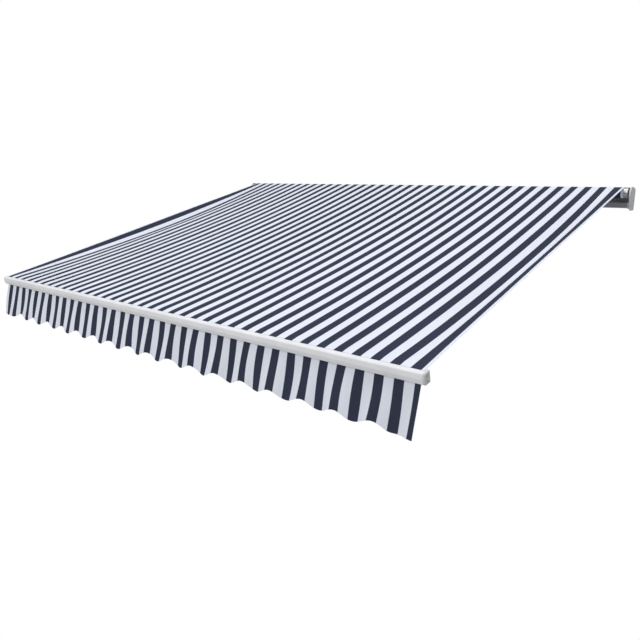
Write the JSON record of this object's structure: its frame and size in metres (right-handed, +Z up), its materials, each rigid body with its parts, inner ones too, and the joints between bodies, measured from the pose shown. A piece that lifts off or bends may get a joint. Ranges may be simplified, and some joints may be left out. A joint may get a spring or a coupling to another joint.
{
  "type": "folding-arm awning",
  "caption": "Retractable wall-mounted fabric awning, let out: striped canopy with waved valance on a roller, folding arms, front bar and crank gear",
  "frame": {"origin": "On the wall plane behind the middle wall bracket, at the height of the torsion bar's middle.", "axes": "+Y points into the wall, +Z up, +X to the right along the wall seen from the front."},
  "size_m": [4.0006, 3.0503, 1.0219],
  "materials": {
    "painted_aluminium": "powder coated aluminium, pale grey",
    "painted_casting": "powder coated casting, pale grey",
    "grey_plastic": "moulded, fine grain",
    "dark_plastic": "moulded, fine grain",
    "galvanised_steel": "zinc plated",
    "cord": "extruded cord",
    "awning_cloth": "woven acrylic with navy and white block stripes"
  },
  "bodies": {
    "wall_frame": {"torsion_bar": "galvanised_steel", "wall_bracket_left": "painted_casting", "bracket_keeper_left": "painted_casting", "keeper_bolt_left": "galvanised_steel", "wall_bracket_middle": "painted_casting", "bracket_keeper_middle": "painted_casting", "keeper_bolt_middle": "galvanised_steel", "wall_bracket_right": "painted_casting", "bracket_keeper_right": "painted_casting", "keeper_bolt_right": "galvanised_steel", "side_plate_left": "grey_plastic", "arm_bracket_left": "painted_casting", "set_screw_left": "galvanised_steel", "side_plate_right": "grey_plastic", "arm_bracket_right": "painted_casting", "set_screw_right": "galvanised_steel", "idler_bearing": "dark_plastic", "gearbox_housing": "dark_plastic"},
    "roller": {"roller_tube": "galvanised_steel", "roller_cap_left": "dark_plastic", "roller_cap_right": "dark_plastic", "fabric_roll": "awning_cloth"},
    "crank": {"crank_eye": "galvanised_steel"},
    "tilt_left": {"shoulder_left": "painted_casting", "shoulder_pin_left": "galvanised_steel", "pitch_lock_bolt_left": "galvanised_steel", "tilt_bolt_left": "galvanised_steel", "canopy": "awning_cloth"},
    "rear_arm_left": {"arm_heel_left": "painted_casting", "rear_arm_tube_left": "painted_aluminium", "elbow_fork_left": "painted_casting", "elbow_pin_left": "galvanised_steel", "arm_spring_left": "galvanised_steel", "elbow_cable_left": "galvanised_steel"},
    "front_arm_left": {"elbow_tongue_left": "painted_casting", "front_arm_tube_left": "painted_aluminium", "arm_wrist_left": "painted_casting"},
    "tilt_right": {"shoulder_right": "painted_casting", "shoulder_pin_right": "galvanised_steel", "pitch_lock_bolt_right": "galvanised_steel", "tilt_bolt_right": "galvanised_steel"},
    "rear_arm_right": {"arm_heel_right": "painted_casting", "rear_arm_tube_right": "painted_aluminium", "elbow_fork_right": "painted_casting", "elbow_pin_right": "galvanised_steel", "arm_spring_right": "galvanised_steel", "elbow_cable_right": "galvanised_steel"},
    "front_arm_right": {"elbow_tongue_right": "painted_casting", "front_arm_tube_right": "painted_aluminium", "arm_wrist_right": "painted_casting"},
    "front_bar_group": {"front_bar": "painted_aluminium", "front_bar_cap_left": "grey_plastic", "front_bar_cap_right": "grey_plastic", "arm_connector_left": "painted_casting", "arm_connector_right": "painted_casting", "wrist_pin_left": "galvanised_steel", "wrist_pin_right": "galvanised_steel", "canopy_keder": "cord", "valance_keder": "cord", "valance": "awning_cloth"}
  },
  "joints": [
    {"name": "tilt_left", "type": "hinge", "parent": "wall_frame", "child": "tilt_left", "pos_m": [-1.7, -0.11, -0.015], "axis": [1, 0, 0], "range_deg": [-9, 20], "deforming": ["canopy"]},
    {"name": "tilt_right", "type": "hinge", "parent": "wall_frame", "child": "tilt_right", "pos_m": [1.7, -0.11, -0.015], "axis": [1, 0, 0], "range_deg": [-9, 20]},
    {"name": "arm_fold", "type": "hinge", "parent": "tilt_left", "child": "rear_arm_left", "pos_m": [-1.7, -0.17456, -0.02871], "axis": [0, -0.2078, 0.9782], "range_deg": [0, 72], "deforming": ["canopy", "elbow_cable_left", "elbow_cable_right"]},
    {"name": "elbow_left", "type": "hinge", "parent": "rear_arm_left", "child": "front_arm_left", "pos_m": [-1.33288, -1.5467, -0.32019], "axis": [0, -0.2078, 0.9782], "range_deg": [-144, 0], "deforming": ["elbow_cable_left"]},
    {"name": "wrist_left", "type": "hinge", "parent": "front_arm_left", "child": "front_bar_group", "pos_m": [-1.7, -2.91884, -0.61167], "axis": [0, -0.2078, 0.9782], "range_deg": [0, 72]},
    {"name": "shoulder_turn_right", "type": "hinge", "parent": "tilt_right", "child": "rear_arm_right", "pos_m": [1.7, -0.17456, -0.02871], "axis": [0, -0.2078, 0.9782], "range_deg": [-72, 0]},
    {"name": "elbow_right", "type": "hinge", "parent": "rear_arm_right", "child": "front_arm_right", "pos_m": [1.33288, -1.5467, -0.32019], "axis": [0, -0.2078, 0.9782], "range_deg": [0, 144], "deforming": ["elbow_cable_right"]},
    {"name": "roller_turn", "type": "hinge", "parent": "wall_frame", "child": "roller", "pos_m": [0, -0.105, 0.095], "axis": [-1, 0, 0], "range_deg": [0, 3456]},
    {"name": "crank_turn", "type": "hinge", "parent": "wall_frame", "child": "crank", "pos_m": [-1.9722, -0.135, 0.095], "axis": [0, -0.342, -0.9397], "range_deg": [0, 15897.6]}
  ],
  "couplings": [
    {"joint": "tilt_right", "follows": "tilt_left", "ratio": 1},
    {"joint": "elbow_left", "follows": "arm_fold", "ratio": -2},
    {"joint": "wrist_left", "follows": "arm_fold", "ratio": 1},
    {"joint": "shoulder_turn_right", "follows": "arm_fold", "ratio": -1},
    {"joint": "elbow_right", "follows": "arm_fold", "ratio": 2},
    {"joint": "roller_turn", "follows": "arm_fold", "ratio": 48},
    {"joint": "crank_turn", "follows": "arm_fold", "ratio": 220.8}
  ]
}
